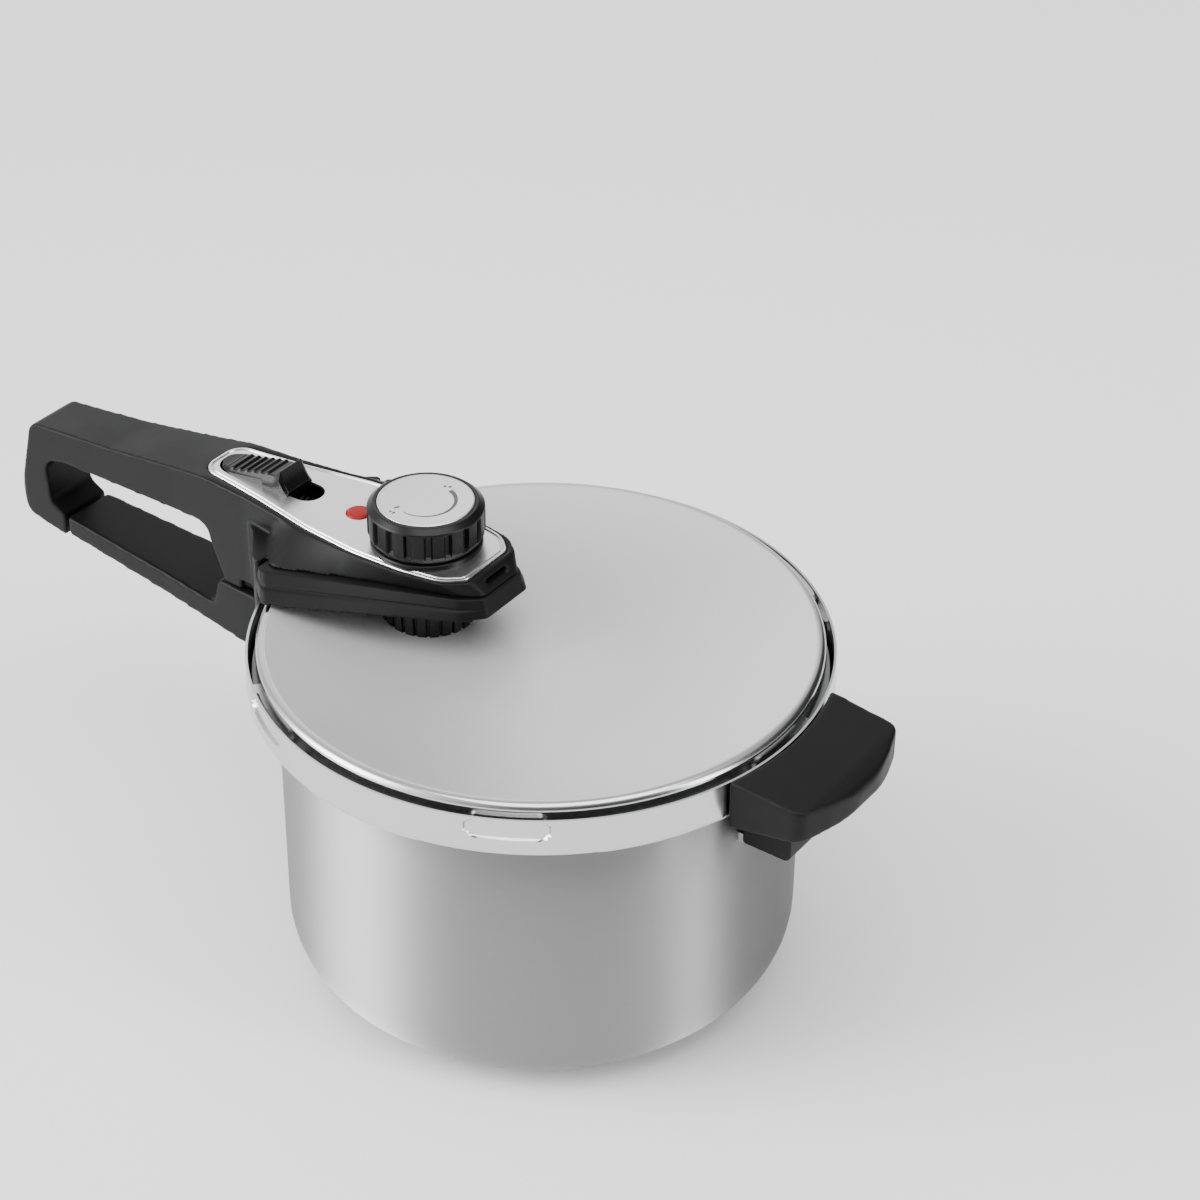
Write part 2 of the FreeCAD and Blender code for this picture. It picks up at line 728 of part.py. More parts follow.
def coil(label, radius, wire_r, low, high, turns, x, axis_height=None):
    """A compression spring as a swept helix, standing at x or, with an axis height, lying from x."""
    low, high, x = float(size(low)), float(size(high)), float(size(x))
    height = high - low
    helix = Part.makeHelix(height / turns, height, radius)
    ring = Part.Wire(Part.makeCircle(wire_r, FreeCAD.Vector(radius, 0, 0), FreeCAD.Vector(0, 1, 0)))
    spring = DOC.addObject("Part::Feature", "Spring")
    spring.Shape = helix.makePipeShell([ring], True, True)
    spring.Placement = FreeCAD.Placement(FreeCAD.Vector(x, 0, low), FreeCAD.Rotation())
    if axis_height is not None:
        turn = FreeCAD.Rotation(FreeCAD.Vector(0, 1, 0), 90)
        spring.Placement = FreeCAD.Placement(FreeCAD.Vector(x, 0, float(axis_height)), turn)
    keep(spring, label)


def pressure_knob():
    """Ribbed selector knob with a steel cap; it turns on the knob base."""
    low, top = S.knob_base_z, S.knob_top
    knob = cut(
        fuse(
            cone(S.knob_r - 1.6, S.knob_r, low, low + 4, -S.valve_x),
            post(S.knob_r, low + 4, top - 1.5, -S.valve_x),
            cone(S.knob_r, S.knob_r - 2.5, top - 1.5, top, -S.valve_x),
        ),
        post(S.knob_r - 4.3, top - 1, top + 5, -S.valve_x),
        post(9, up(170), top - 4, -S.valve_x),
    )
    grooves = []
    for index in range(20):
        angle = 2 * math.pi * index / 20
        groove_x = -S.valve_x + (S.knob_r + 0.6) * round(math.cos(angle), 6)
        grooves.append(post(1.7, low + 3, top - 3, groove_x, (S.knob_r + 0.6) * round(math.sin(angle), 6)))
    keep(cut(knob, fuse(*grooves)), "pressure_knob")
    cap = fuse(
        post(S.knob_r - 4.4, top - 1, top, -S.valve_x),
        cone(S.knob_r - 4.4, S.knob_r - 5.2, top, top + 0.4, -S.valve_x),
    )
    keep(cap, "knob_cap")


def indicator():
    """Red pressure pin on its steel stem, in a bush with a seal in the lid."""
    x = -S.indicator_x
    button = fuse(
        post(5.4, up(180), S.plate_top + 0.3, x), cone(5.4, 4.4, S.plate_top + 0.3, S.plate_top + 0.9, x),
    )
    keep(button, "indicator_button")
    keep(fuse(post(2, up(139), up(180), x), post(3.6, up(138), up(141), x)), "indicator_stem")
    keep(cut(post(4.5, up(148.5), up(164.6), x), post(2.05, up(140), up(180), x)), "indicator_bush")


def lock():
    """Slider on the handle, the hook that holds the pot's post, and their return spring."""
    far, near = -S.slider_end, -S.slider_end + S.slider_length
    half = S.slider_width / 2
    crest = S.plate_top + 10.8
    ramp = side_prism([
        (far, up(182), 1), (near, up(182), 1), (near - 0.5, S.plate_top + 2.5, 5),
        (near - 4.5, crest, 0.5), (near - 9, crest - 4.2, 4),
        (far + 9, S.plate_top + 3.2, 6), (far, S.plate_top + 1.2, 2),
    ], half)
    nose = plan_prism([(near, half, 1.5), (near - 30, half, 5), (far, half - 3, 6)], up(170), up(200))
    runner = block(far, near, -9.8, 9.8, up(175), up(181.8))
    joined = fuse(common(ramp, nose), runner, block(near - 34, near - 2, -5, 5, up(181.5), up(183)))
    keep(joined, "lock_slider")
    hook = fuse(
        block(-out(140), -out(137), -3.5, 3.5, up(141), up(174.8)),
        block(-out(148.5), -out(137), -3.5, 3.5, up(141), up(145)),
        block(-out(140), -out(132), -3.5, 3.5, up(174.3), up(174.8)),
    )
    keep(hook, "lock_hook")
    coil("lock_spring", 2.4, 0.4, 0, 22, 9, near + 0.4, axis_height=up(178))


pot_shell()
pot_base()
pot_handle()
helper_handle()
lid_plate()
lock_ring()
gasket()
lid_handle()
head_parts()
head_screws()
valve()
pressure_knob()
indicator()
lock()
DOC.recompute()

failed = [o.Name for o in DOC.Objects if "Invalid" in o.State or "Error" in o.State]
if failed:
    raise RuntimeError(f"failed features: {failed}")
for node in NODES:
    if node.Shape.isNull() or not node.Shape.isValid():
        raise RuntimeError(f"bad shape: {node.Label}")

os.makedirs("parts", exist_ok=True)
for node in NODES:
    node.Shape.exportStep(f"parts/{node.Label}.step")
    print(f"{node.Label}: {len(node.Shape.Solids)} solid(s), {node.Shape.Volume / 1000:.1f} cm3")
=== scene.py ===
# %% [markdown]
# # A stovetop pressure cooker
# A steel pot with a bayonet lid, a long locking handle with a selector knob, and a short helper
# handle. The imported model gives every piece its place. This file gives the pieces their looks:
# turned steel, moulded plastic and brushed trim.

# %% The frame and the box it fills
import math

import bmesh
import bpy
import numpy as np
from mathutils import Matrix, Vector

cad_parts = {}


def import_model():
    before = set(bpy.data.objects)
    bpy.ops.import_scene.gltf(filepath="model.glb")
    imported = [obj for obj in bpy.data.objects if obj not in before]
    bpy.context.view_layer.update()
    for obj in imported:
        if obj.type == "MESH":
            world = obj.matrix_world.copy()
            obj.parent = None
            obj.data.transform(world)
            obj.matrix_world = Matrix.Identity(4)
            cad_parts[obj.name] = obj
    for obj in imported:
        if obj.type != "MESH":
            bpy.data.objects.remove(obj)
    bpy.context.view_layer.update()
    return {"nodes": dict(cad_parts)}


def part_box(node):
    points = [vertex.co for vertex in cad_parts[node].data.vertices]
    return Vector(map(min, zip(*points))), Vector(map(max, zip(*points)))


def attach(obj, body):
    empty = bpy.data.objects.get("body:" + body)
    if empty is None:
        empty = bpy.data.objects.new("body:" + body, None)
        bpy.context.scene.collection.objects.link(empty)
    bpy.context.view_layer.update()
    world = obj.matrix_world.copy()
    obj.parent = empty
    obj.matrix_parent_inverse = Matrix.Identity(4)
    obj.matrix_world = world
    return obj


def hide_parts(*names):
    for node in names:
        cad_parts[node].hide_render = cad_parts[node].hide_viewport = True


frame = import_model()
MM = 0.001

# %% [markdown]
# ## The camera
# The camera stands a little over a metre away and looks down by about a third of a right angle,
# with a long lens so that the pot's sides stay nearly parallel. It could be placed by hand, but
# an aim point, two angles and a distance say the same thing and are easier to change.

# %% Camera
AZIMUTH, ELEVATION, ROLL = math.radians(35.0), math.radians(34.1), math.radians(0.64)
DISTANCE = 1.3056
LENS, SENSOR = 90.56, 36.0
POT_MIDDLE = Vector((0, 0, 0.080))
AIM_RIGHT, AIM_UP = 0.0243, 0.0810


def place_camera():
    """Puts the camera on a sphere round the aim point and turns it to look there."""
    right = Vector((math.cos(AZIMUTH), math.sin(AZIMUTH), 0))
    ahead = Vector((
        -math.sin(AZIMUTH) * math.cos(ELEVATION),
        math.cos(AZIMUTH) * math.cos(ELEVATION),
        -math.sin(ELEVATION),
    ))
    up = right.cross(ahead)
    aim = POT_MIDDLE + right * AIM_RIGHT + up * AIM_UP
    camera = bpy.data.objects.new("camera", bpy.data.cameras.new("camera"))
    camera.data.lens, camera.data.sensor_width = LENS, SENSOR
    rolled_right = right * math.cos(ROLL) + up * math.sin(ROLL)
    rolled_up = up * math.cos(ROLL) - right * math.sin(ROLL)
    turn = Matrix((rolled_right, rolled_up, -ahead)).transposed().to_4x4()
    camera.matrix_world = Matrix.Translation(aim - ahead * DISTANCE) @ turn
    bpy.context.scene.collection.objects.link(camera)
    bpy.context.scene.camera = camera
    return camera


print("camera at", tuple(round(v, 3) for v in place_camera().location))

# %% [markdown]
# ## Shared shader groups
# Real steel and plastic are never one flat value. Three effects turn up in several finishes, so
# each is a node group that is built once: brush lines that run along a direction, the fine grain
# of a moulded surface, and soft handling marks that vary the gloss.


# %% Node group helpers
def node_group(name, inputs, outputs):
    """Makes an empty shader group with float or vector inputs and float outputs."""
    group = bpy.data.node_groups.new(name, "ShaderNodeTree")
    for label, kind, default in inputs:
        socket = group.interface.new_socket(label, in_out="INPUT", socket_type=f"NodeSocket{kind}")
        if default is not None:
            socket.default_value = default
    for label in outputs:
        group.interface.new_socket(label, in_out="OUTPUT", socket_type="NodeSocketFloat")
    return group, group.nodes.new("NodeGroupInput"), group.nodes.new("NodeGroupOutput")


def noise_node(tree, vector, scale, detail=2.0, rough=0.5):
    """A noise texture that reads the given vector socket."""
    node = tree.nodes.new("ShaderNodeTexNoise")
    node.inputs["Detail"].default_value = detail
    node.inputs["Roughness"].default_value = rough
    tree.links.new(vector, node.inputs["Vector"])
    if isinstance(scale, bpy.types.NodeSocket):
        tree.links.new(scale, node.inputs["Scale"])
    else:
        node.inputs["Scale"].default_value = scale
    return node.outputs["Fac"]


def math_node(tree, operation, *values):
    """A math node; each value is a number or a socket."""
    node = tree.nodes.new("ShaderNodeMath")
    node.operation = operation
    for slot, value in zip(node.inputs, values):
        if isinstance(value, bpy.types.NodeSocket):
            tree.links.new(value, slot)
        else:
            slot.default_value = value
    return node.outputs[0]


# %% Brush lines, grain and marks
def turned_lines_group():
    """Lines that run round the Z axis and change along Height or along the radius."""
    group, source, result = node_group(
        "turned_lines",
        [("Vector", "Vector", None), ("Fineness", "Float", 1500.0), ("Across Top", "Float", 0.0)],
        ["Lines"],
    )
    split = group.nodes.new("ShaderNodeSeparateXYZ")
    group.links.new(source.outputs["Vector"], split.inputs[0])
    x, y, z = split.outputs
    radius = math_node(group, "SQRT", math_node(
        group, "ADD", math_node(group, "MULTIPLY", x, x), math_node(group, "MULTIPLY", y, y)))
    safe = math_node(group, "MAXIMUM", radius, 0.001)
    across_top = source.outputs["Across Top"]
    up_side = math_node(group, "SUBTRACT", 1.0, across_top)
    from_top = math_node(group, "MULTIPLY", radius, across_top)
    from_side = math_node(group, "MULTIPLY", z, up_side)
    along = math_node(group, "ADD", from_top, from_side)
    join = group.nodes.new("ShaderNodeCombineXYZ")
    for slot, value in zip(join.inputs, (
        math_node(group, "DIVIDE", x, safe),
        math_node(group, "DIVIDE", y, safe),
        math_node(group, "MULTIPLY", along, source.outputs["Fineness"]),
    )):
        group.links.new(value, slot)
    fine = noise_node(group, join.outputs[0], 3.0, detail=3.0)
    group.links.new(fine, result.inputs["Lines"])
    return group


def grain_group():
    """The fine pebbled grain of a spark-eroded mould."""
    group, source, result = node_group(
        "moulded_grain", [("Vector", "Vector", None), ("Scale", "Float", 2200.0)], ["Grain"])
    fine = noise_node(group, source.outputs["Vector"], source.outputs["Scale"], detail=2.0)
    coarse = noise_node(group, source.outputs["Vector"], 500.0, detail=1.0)
    fine_share = math_node(group, "MULTIPLY", fine, 0.75)
    coarse_share = math_node(group, "MULTIPLY", coarse, 0.25)
    both = math_node(group, "ADD", fine_share, coarse_share)
    group.links.new(both, result.inputs["Grain"])
    return group


def marks_group():
    """Soft patches where a surface has been wiped and handled, from 0 to 1."""
    group, source, result = node_group(
        "handling_marks", [("Vector", "Vector", None), ("Scale", "Float", 14.0)], ["Marks"])
    broad = noise_node(group, source.outputs["Vector"], source.outputs["Scale"], detail=4.0, rough=0.6)
    ramp = group.nodes.new("ShaderNodeMapRange")
    ramp.inputs["From Min"].default_value, ramp.inputs["From Max"].default_value = 0.35, 0.7
    group.links.new(broad, ramp.inputs["Value"])
    group.links.new(ramp.outputs["Result"], result.inputs["Marks"])
    return group


TURNED_LINES, GRAIN, MARKS = turned_lines_group(), grain_group(), marks_group()
print("shader groups:", [g.name for g in bpy.data.node_groups])

# %% [markdown]
# ## Finishes
# Every finish starts from the Principled shader. Steel is metallic, with a roughness that its
# brush lines and marks change slightly. The lid's satin steel is only half metallic, so that it
# mirrors the dark head softly. Plastic is dark and rough, with a grain for its bump.


# %% Material helper
def finish(name, colour, metallic, roughness, **sockets):
    """Makes a Principled material and returns it with its tree, shader and object coordinates."""
    material = bpy.data.materials.new(name)
    material.use_nodes = True
    tree = material.node_tree
    shader = tree.nodes["Principled BSDF"]
    shader.inputs["Base Color"].default_value = (*colour, 1)
    shader.inputs["Metallic"].default_value = metallic
    shader.inputs["Roughness"].default_value = roughness
    for label, value in sockets.items():
        shader.inputs[label.replace("_", " ")].default_value = value
    where = tree.nodes.new("ShaderNodeTexCoord").outputs["Object"]
    return material, tree, shader, where


def use_group(tree, group, vector, **values):
    """Places a shared group in a material and returns its only output."""
    node = tree.nodes.new("ShaderNodeGroup")
    node.node_tree = group
    tree.links.new(vector, node.inputs["Vector"])
    for label, value in values.items():
        node.inputs[label.replace("_", " ")].default_value = value
    return node.outputs[0]


def spread(tree, value, low, high):
    """Maps a 0 to 1 value to a range."""
    node = tree.nodes.new("ShaderNodeMapRange")
    node.inputs["To Min"].default_value, node.inputs["To Max"].default_value = low, high
    tree.links.new(value, node.inputs["Value"])
    return node.outputs["Result"]


def tint(tree, value, dark, light):
    """Mixes two colours by a value."""
    node = tree.nodes.new("ShaderNodeMix")
    node.data_type = "RGBA"
    node.inputs[6].default_value, node.inputs[7].default_value = (*dark, 1), (*light, 1)
    tree.links.new(value, node.inputs[0])
    return node.outputs[2]


def bump(tree, shader, height, distance, strength=1.0):
    """Feeds a height to the shader's normal through a Bump node."""
    node = tree.nodes.new("ShaderNodeBump")
    node.inputs["Distance"].default_value = distance
    node.inputs["Strength"].default_value = strength
    tree.links.new(height, node.inputs["Height"])
    tree.links.new(node.outputs[0], shader.inputs["Normal"])


# %% Steel finishes
def turned_steel(
    name, colour, roughness, anisotropic,
    across_top=0.0, fineness=1500.0, depth=4e-6, dark=0.9, metallic=1.0,
):
    """Steel brushed round the pot's axis."""
    material, tree, shader, where = finish(name, colour, metallic, roughness, Anisotropic=anisotropic)
    lines = use_group(tree, TURNED_LINES, where, Fineness=fineness, Across_Top=across_top)
    marks = use_group(tree, MARKS, where, Scale=9.0)
    tree.links.new(
        tint(tree, lines, tuple(c * dark for c in colour), colour), shader.inputs["Base Color"])
    brushed = spread(tree, lines, roughness - 0.04, roughness + 0.05)
    wiped = math_node(tree, "MULTIPLY", marks, 0.03)
    tree.links.new(math_node(tree, "ADD", brushed, wiped), shader.inputs["Roughness"])
    bump(tree, shader, lines, depth)
    if anisotropic:
        shader.inputs["Anisotropic Rotation"].default_value = 0.25
        tangent = tree.nodes.new("ShaderNodeTangent")
        tangent.direction_type, tangent.axis = "RADIAL", "Z"
        tree.links.new(tangent.outputs[0], shader.inputs["Tangent"])
    return material


def straight_steel(name, colour, roughness, stretch=(40, 2500, 400)):
    """Steel or aluminium brushed along X."""
    material, tree, shader, where = finish(name, colour, 1.0, roughness)
    scale = tree.nodes.new("ShaderNodeVectorMath")
    scale.operation = "MULTIPLY"
    scale.inputs[1].default_value = stretch
    tree.links.new(where, scale.inputs[0])
    lines = noise_node(tree, scale.outputs[0], 1.0, detail=3.0)
    tree.links.new(tint(tree, lines, tuple(c * 0.86 for c in colour), colour), shader.inputs["Base Color"])
    tree.links.new(spread(tree, lines, roughness - 0.05, roughness + 0.08), shader.inputs["Roughness"])
    bump(tree, shader, lines, 5e-6)
    return material


pot_steel = turned_steel("brushed_pot_steel", (0.43, 0.43, 0.43), 0.62, 1.0)
lid_steel = turned_steel(
    "satin_lid_steel", (0.62, 0.62, 0.62), 0.42, 0.0,
    across_top=1.0, fineness=900.0, depth=1.5e-6, dark=0.96, metallic=0.5,
)
rim_steel = turned_steel(
    "polished_rim_steel", (0.58, 0.58, 0.58), 0.18, 0.0, fineness=700.0, depth=1e-6, dark=0.97,
)
trim_steel = straight_steel("brushed_trim", (0.84, 0.84, 0.83), 0.30)
cap_steel = straight_steel("brushed_cap", (0.90, 0.90, 0.89), 0.34, stretch=(300, 300, 300))
small_steel = straight_steel("plain_small_steel", (0.66, 0.66, 0.67), 0.32, stretch=(900, 900, 900))


# %% Plastic and rubber finishes
def moulded(name, colour, roughness, scale=2200.0, depth=1.2e-5, light=1.5, **sockets):
    """Moulded plastic or rubber with grain and handling marks."""
    material, tree, shader, where = finish(name, colour, 0.0, roughness, **sockets)
    grain = use_group(tree, GRAIN, where, Scale=scale)
    marks = use_group(tree, MARKS, where, Scale=22.0)
    tree.links.new(tint(tree, marks, colour, tuple(c * light for c in colour)), shader.inputs["Base Color"])
    tree.links.new(spread(tree, marks, roughness - 0.05, roughness + 0.06), shader.inputs["Roughness"])
    bump(tree, shader, grain, depth)
    return material


black_plastic = moulded("black_grained_plastic", (0.004, 0.004, 0.0043), 0.44, Specular_IOR_Level=0.14)
gloss_black = moulded(
    "black_smooth_plastic", (0.003, 0.003, 0.0034), 0.30,
    scale=900.0, depth=3e-6, Specular_IOR_Level=0.24,
)
red_plastic = moulded(
    "red_pin_plastic", (0.24, 0.003, 0.002), 0.34,
    scale=700.0, depth=2e-6, light=1.15, Specular_IOR_Level=0.2,
)
silicone = moulded("grey_silicone", (0.30, 0.31, 0.32), 0.55, scale=600.0, depth=6e-6, light=1.1)
dial_ink = moulded("dial_ink", (0.05, 0.05, 0.055), 0.5, scale=900.0, depth=1e-6)
print("finishes:", len(bpy.data.materials))

# %% [markdown]
# ## Building blocks
# Pots and knobs are made on a lathe or a spinning tool, so the natural way to model them is to
# draw half a section and turn it. Corners are given as a point and a radius, as on a drawing.


# %% Sections and turning
def rounded(corners, closed=True, step=math.radians(9)):
    """Turns (a, b, radius) corners into a list of points with an arc at each corner."""
    points, count = [], len(corners)
    for index, (a, b, radius) in enumerate(corners):
        here = Vector((a, b))
        if not radius or (not closed and index in (0, count - 1)):
            points.append((a, b))
            continue
        before, after = Vector(corners[index - 1][:2]), Vector(corners[(index + 1) % count][:2])
        back, ahead = before - here, after - here
        half = back.angle(ahead) / 2
        reach = min(radius / math.tan(half), 0.499 * back.length, 0.499 * ahead.length)
        radius = reach * math.tan(half)
        middle = here + (back.normalized() + ahead.normalized()).normalized() * (radius / math.sin(half))
        start, end = here + back.normalized() * reach, here + ahead.normalized() * reach
        first = math.atan2(start.y - middle.y, start.x - middle.x)
        sweep = math.atan2(end.y - middle.y, end.x - middle.x) - first
        sweep = (sweep + math.pi) % (2 * math.pi) - math.pi
        steps = max(2, math.ceil(abs(sweep) / step))
        for k in range(steps + 1):
            angle = first + sweep * k / steps
            points.append((middle.x + radius * math.cos(angle), middle.y + radius * math.sin(angle)))
    return points


def divided(points, longest, closed=True):
    """Splits the long runs of a point list, so that a shape can bend between its corners."""
    result = []
    last = len(points) if closed else len(points) - 1
    for index in range(last):
        (a, b), (c, d) = points[index], points[(index + 1) % len(points)]
        count = max(1, math.ceil(math.dist((a, b), (c, d)) / longest))
        result += [(a + (c - a) * k / count, b + (d - b) * k / count) for k in range(count)]
    return result if closed else result + [points[-1]]


def piece(name, verts, faces, body, material, replaces=(), crease=32):
    """Makes a mesh object that rides on a body and stands for the named CAD nodes."""
    mesh = bpy.data.meshes.new(name)
    mesh.from_pydata([tuple(v) for v in verts], [], faces)
    work = bmesh.new()
    work.from_mesh(mesh)
    bmesh.ops.remove_doubles(work, verts=work.verts, dist=1e-6)
    bmesh.ops.recalc_face_normals(work, faces=work.faces)
    work.to_mesh(mesh)
    work.free()
    mesh.polygons.foreach_set("use_smooth", [True] * len(mesh.polygons))
    mesh.set_sharp_from_angle(angle=math.radians(crease))
    mesh.materials.append(material)
    item = bpy.data.objects.new(name, mesh)
    bpy.context.scene.collection.objects.link(item)
    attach(item, body)
    if replaces:
        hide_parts(*replaces)
    print(f"{name}: {len(mesh.vertices)} vertices on {body}")
    return item


def lathe(section, steps=256, centre=(0.0, 0.0), warp=None, closed=True):
    """Turns a section of (radius, height) points, in millimetres, about a vertical axis.

    warp(angle, radius, height) may return a changed radius and height for each point.
    """
    verts, faces, count = [], [], len(section)
    for k in range(steps):
        angle = 2 * math.pi * k / steps
        for radius, height in section:
            if warp:
                radius, height = warp(angle, radius, height)
            verts.append((
                centre[0] + radius * math.cos(angle) * MM,
                centre[1] + radius * math.sin(angle) * MM,
                height * MM,
            ))
    rows = count if closed else count - 1
    for k in range(steps):
        here, there = k * count, (k + 1) % steps * count
        for i in range(rows):
            j = (i + 1) % count
            faces.append((here + i, there + i, there + j, here + j))
    return verts, faces


def top_of(node):
    """Height of a CAD node's top, in millimetres."""
    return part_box(node)[1].z / MM


def low_of(node):
    """Height of a CAD node's underside, in millimetres."""
    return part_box(node)[0].z / MM


def half_width(node, axis="x"):
    """Half of a CAD node's size along an axis, in millimetres."""
    low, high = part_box(node)
    return (getattr(high, axis) - getattr(low, axis)) / 2 / MM


def middle_of(node):
    """Middle of a CAD node's box, in metres."""
    low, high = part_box(node)
    return (low + high) / 2


# %% [markdown]
# ## The pot
# The pot is drawn from one disc of steel: a flat bottom, a round corner, a straight wall and a
# flared collar. Six tabs are pressed inward in the collar, and the lid's lugs turn in under
# them. A lathe section makes the shell, and a warp pushes the sheet in at each tab.

# %% Pot shell
COLLAR_R = half_width("pot_shell")
COLLAR_TOP = top_of("pot_shell")
POT_LOW = low_of("pot_shell")
WALL_R, SHEET, CORNER_R = 111.0, 1.0, 25.0
WALL_TOP, FLARE_R = 136.0, 10.0
TAB_COUNT, TAB_HALF_ARC = 6, math.radians(7.8)
TAB_LOW, TAB_HIGH, TAB_DEPTH = 148.6, 157.0, 2.6
ENTRY_HALF_ARC, ENTRY_BULGE = math.radians(13.5), 0.45


def smooth(value):
    """A soft step from 0 to 1."""
    value = min(1.0, max(0.0, value))
    return value * value * (3 - 2 * value)


def pressed_collar(angle, radius, height):
    """Pushes the collar in at the tabs and out a little where the lid's lugs enter."""
    if radius < WALL_R + 1.5 or height < WALL_TOP:
        return radius, height
    pitch = 2 * math.pi / TAB_COUNT
    off = abs((angle + pitch / 2) % pitch - pitch / 2)
    middle, half_height = (TAB_LOW + TAB_HIGH) / 2, (TAB_HIGH - TAB_LOW) / 2
    along = max(0.0, off * COLLAR_R - (TAB_HALF_ARC * COLLAR_R - half_height))
    inside = half_height - math.hypot(along, height - middle)
    press = smooth((inside + 0.1) / 1.0)
    entry = smooth((ENTRY_HALF_ARC - (pitch / 2 - off)) * COLLAR_R / 2.5)
    flare = smooth((height - WALL_TOP - 1) / 4) * smooth((FLARE_R + WALL_TOP + 4 - height) / 5)
    return radius - TAB_DEPTH * press + ENTRY_BULGE * entry * flare, height


def pot_section():
    """The pot's section, from the middle of the underside, up the outside and down the inside."""
    outer = [
        (0.01, POT_LOW, 0), (WALL_R, POT_LOW, CORNER_R), (WALL_R, WALL_TOP + 0.6, 1.5),
        (COLLAR_R - FLARE_R + 1, WALL_TOP + 2, 3), (COLLAR_R, WALL_TOP + 3, FLARE_R),
        (COLLAR_R, COLLAR_TOP, 0.45),
    ]
    inner = [
        (COLLAR_R - SHEET, COLLAR_TOP, 0.45), (COLLAR_R - SHEET, WALL_TOP + 4, FLARE_R - SHEET),
        (COLLAR_R - FLARE_R, WALL_TOP + 3, 3), (WALL_R - SHEET, WALL_TOP + 1.4, 1.5),
        (WALL_R - SHEET, POT_LOW + SHEET, CORNER_R - SHEET), (0.01, POT_LOW + SHEET, 0),
    ]
    outside = divided(rounded(outer, closed=False), 0.8, closed=False)
    return outside + rounded(inner, closed=False)


def thinned(points, gap, low):
    """Drops points that are closer than the gap below a height, where the wall is plain."""
    kept = [points[0]]
    for point in points[1:]:
        if point[1] > low or math.dist(point, kept[-1]) >= gap or point is points[-1]:
            kept.append(point)
    return kept


pot_mesh = lathe(thinned(pot_section(), 4.0, WALL_TOP - 2), 540, warp=pressed_collar, closed=False)
pot = piece("pot_shell_steel", *pot_mesh, "pot", pot_steel, ("pot_shell",))
pot.data.materials.append(rim_steel)
for face in pot.data.polygons:
    if face.center.z / MM > WALL_TOP + 1.5:
        face.material_index = 1

# %% [markdown]
# ## The lid
# The lid is a pressed dish. Its rim is rolled over a small radius, and the middle lies lower than
# the rim, so the lid mirrors the room softly. Two equal arcs make the slope between them.

# %% Lid
LID_R, LID_TOP, LID_LOW = half_width("lid_plate"), top_of("lid_plate"), low_of("lid_plate")
LID_SHEET, ROLL_R, FLAT_R = 1.2, 3.2, 45.0
RING_TOP = top_of("lock_ring")


def lid_section():
    """The lid's section: dished top, rolled rim, short skirt and the underside."""
    dish_z, out = LID_LOW + LID_SHEET, LID_R - ROLL_R
    span, rise = out - FLAT_R, LID_TOP - dish_z - ROLL_R
    bend = (span ** 2 + rise ** 2 - ROLL_R ** 2) / (2 * (rise + ROLL_R))
    slope = math.asin(span / (bend + ROLL_R))
    top = [(0.01, dish_z), (FLAT_R / 2, dish_z)]
    for k in range(33):
        angle = slope * k / 32
        top.append((FLAT_R + bend * math.sin(angle), dish_z + bend * (1 - math.cos(angle))))
    for k in range(1, 17):
        angle = -slope + (math.pi / 2 + slope) * k / 16
        top.append((out + ROLL_R * math.sin(angle), LID_TOP - ROLL_R * (1 - math.cos(angle))))
    top.append((LID_R, RING_TOP))
    under = [(r - LID_SHEET if r > out else r, z - (0 if r > out else LID_SHEET)) for r, z in reversed(top)]
    return top + under


lid_mesh = lathe(lid_section(), steps=360, closed=False)
lid = piece("lid_steel", *lid_mesh, "lid", lid_steel, ("lid_plate",))
lid.data.materials.append(rim_steel)
for face in lid.data.polygons:
    if math.hypot(*face.center.xy) / MM > LID_R - ROLL_R - 0.6:
        face.material_index = 1

# %% [markdown]
# ## Moulded handles
# The handles are injection moulded, so no edge on them is sharp. The CAD solids have the right
# shape with hard edges. A copy is remeshed into even small cells, which lets a few rounds of
# smoothing wear every edge to the same soft radius. A bevel would need clean edge loops instead.


# %% Softened copies of CAD solids
def softened(name, node, body, material, cell=0.8, rounds=6, shape=None):
    """A remeshed, smoothed copy of a CAD node; shape(x, y, z) in millimetres may move points first."""
    source = frame["nodes"][node]
    item = bpy.data.objects.new(name, source.data.copy())
    bpy.context.scene.collection.objects.link(item)
    item.data.materials.clear()
    remesh = item.modifiers.new("cells", "REMESH")
    remesh.mode, remesh.voxel_size = "VOXEL", cell * MM
    relax = item.modifiers.new("relax", "SMOOTH")
    relax.factor, relax.iterations = 0.5, rounds
    graph = bpy.context.evaluated_depsgraph_get()
    mesh = bpy.data.meshes.new_from_object(item.evaluated_get(graph))
    bpy.data.objects.remove(item)
    if shape:
        points = np.zeros(len(mesh.vertices) * 3)
        mesh.vertices.foreach_get("co", points)
        points = shape(points.reshape(-1, 3) / MM) * MM
        mesh.vertices.foreach_set("co", points.ravel())
    mesh.polygons.foreach_set("use_smooth", [True] * len(mesh.polygons))
    mesh.materials.clear()
    mesh.materials.append(material)
    soft = bpy.data.objects.new(name, mesh)
    bpy.context.scene.collection.objects.link(soft)
    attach(soft, body)
    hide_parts(node)
    print(f"{name}: {len(mesh.vertices)} vertices on {body}")
    return soft


HEAD_TILT, HEAD_RIM = 0.05, 118.0
GROOVE_RISE, GROOVE_HALF, GROOVE_DEPTH = 4.4, 0.45, 0.7


